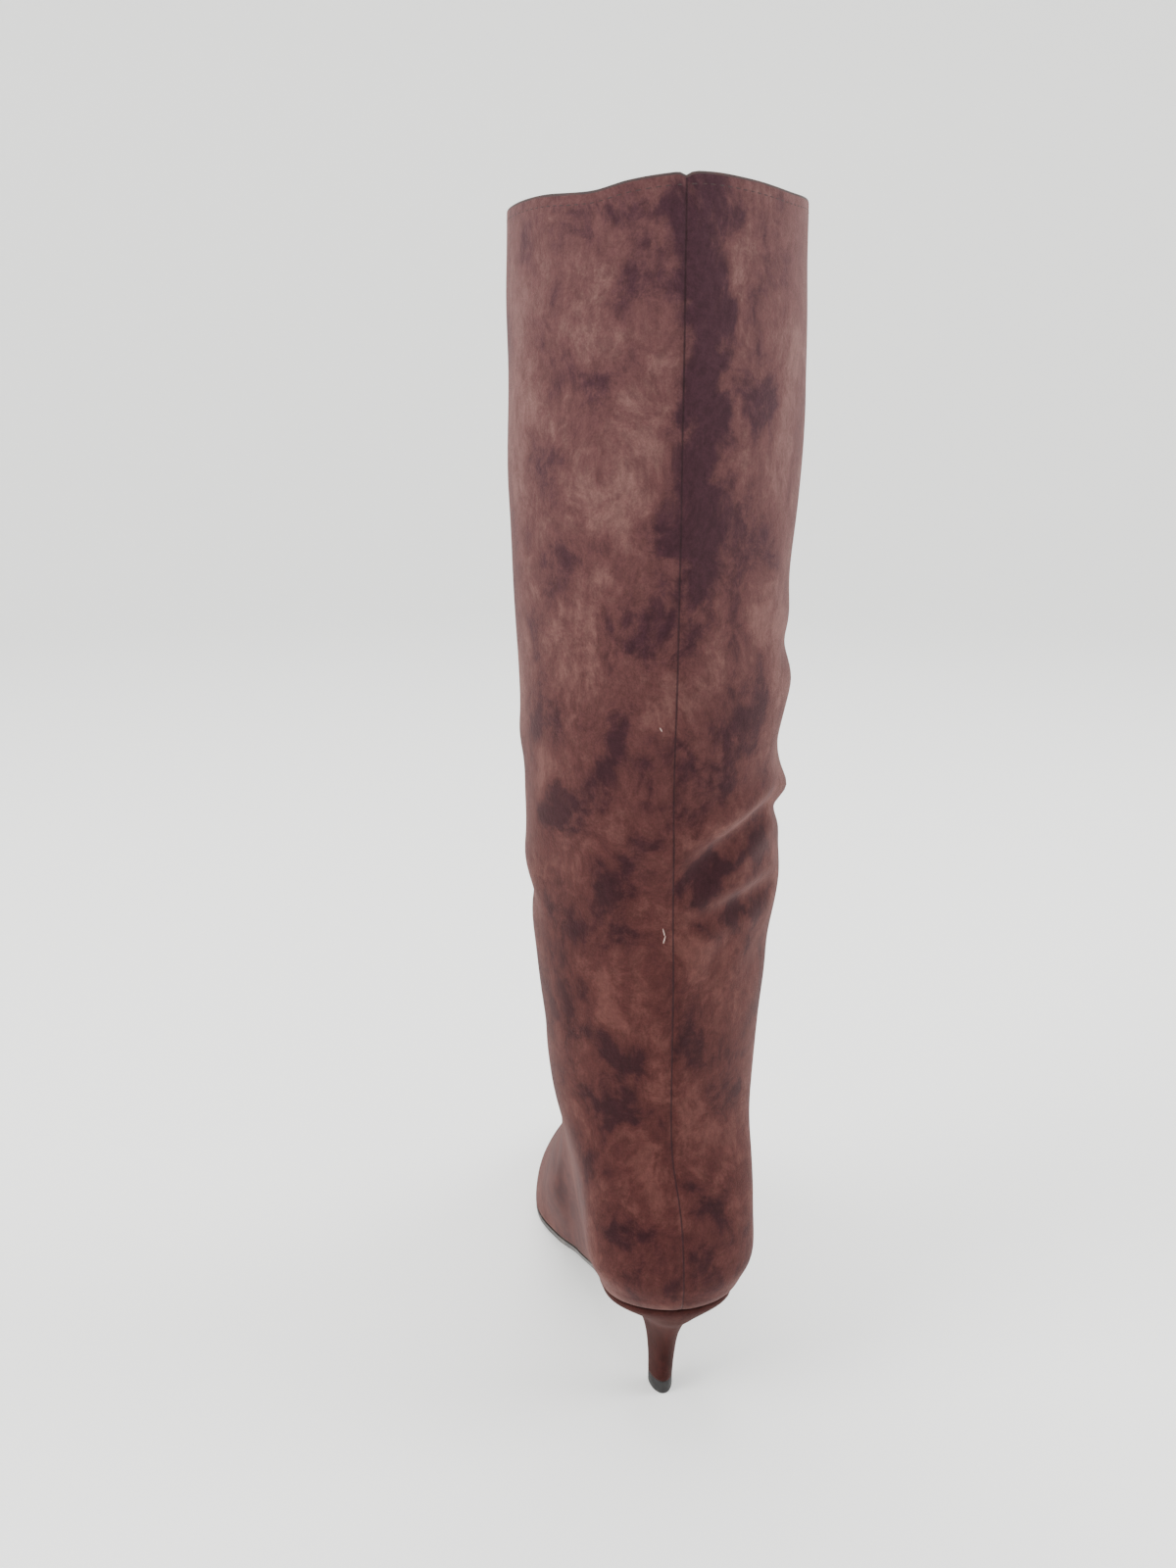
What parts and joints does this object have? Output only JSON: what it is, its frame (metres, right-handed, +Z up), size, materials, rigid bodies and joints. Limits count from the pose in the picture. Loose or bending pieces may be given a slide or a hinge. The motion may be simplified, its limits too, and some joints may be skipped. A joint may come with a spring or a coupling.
{
  "type": "knee-high boot",
  "caption": "Left knee-high boot in suede-like cloth with a pointed toe, a low waisted heel and a zip on the inner side.",
  "frame": {"origin": "middle of the boot's box, on the floor it stands on", "axes": "+Z up, -Y towards the toe, +X the outer side of the foot, -X the inner side with the zip"},
  "size_m": [0.1076, 0.2632, 0.455],
  "materials": {
    "suede": "brushed nap, dark brown",
    "sole_rubber": "matte, dark",
    "insole_cloth": "soft lining",
    "tip_rubber": "satin, black",
    "zip_cloth": "woven tape with a moulded chain",
    "zip_metal": "dark gunmetal"
  },
  "bodies": {
    "boot": {"upper": "suede", "outsole": "sole_rubber", "insole": "insole_cloth", "heel": "suede", "heel_tip": "tip_rubber", "zip_tape": "zip_cloth", "zip_slider": "zip_metal"},
    "pull": {"zip_pull": "zip_metal"}
  },
  "joints": [
    {"name": "pull_swing", "type": "hinge", "parent": "boot", "child": "pull", "pos_m": [-0.05089, 0.04768, 0.22269], "axis": [-0.3456, 0.9384, 0], "range_deg": [0, 165]}
  ]
}
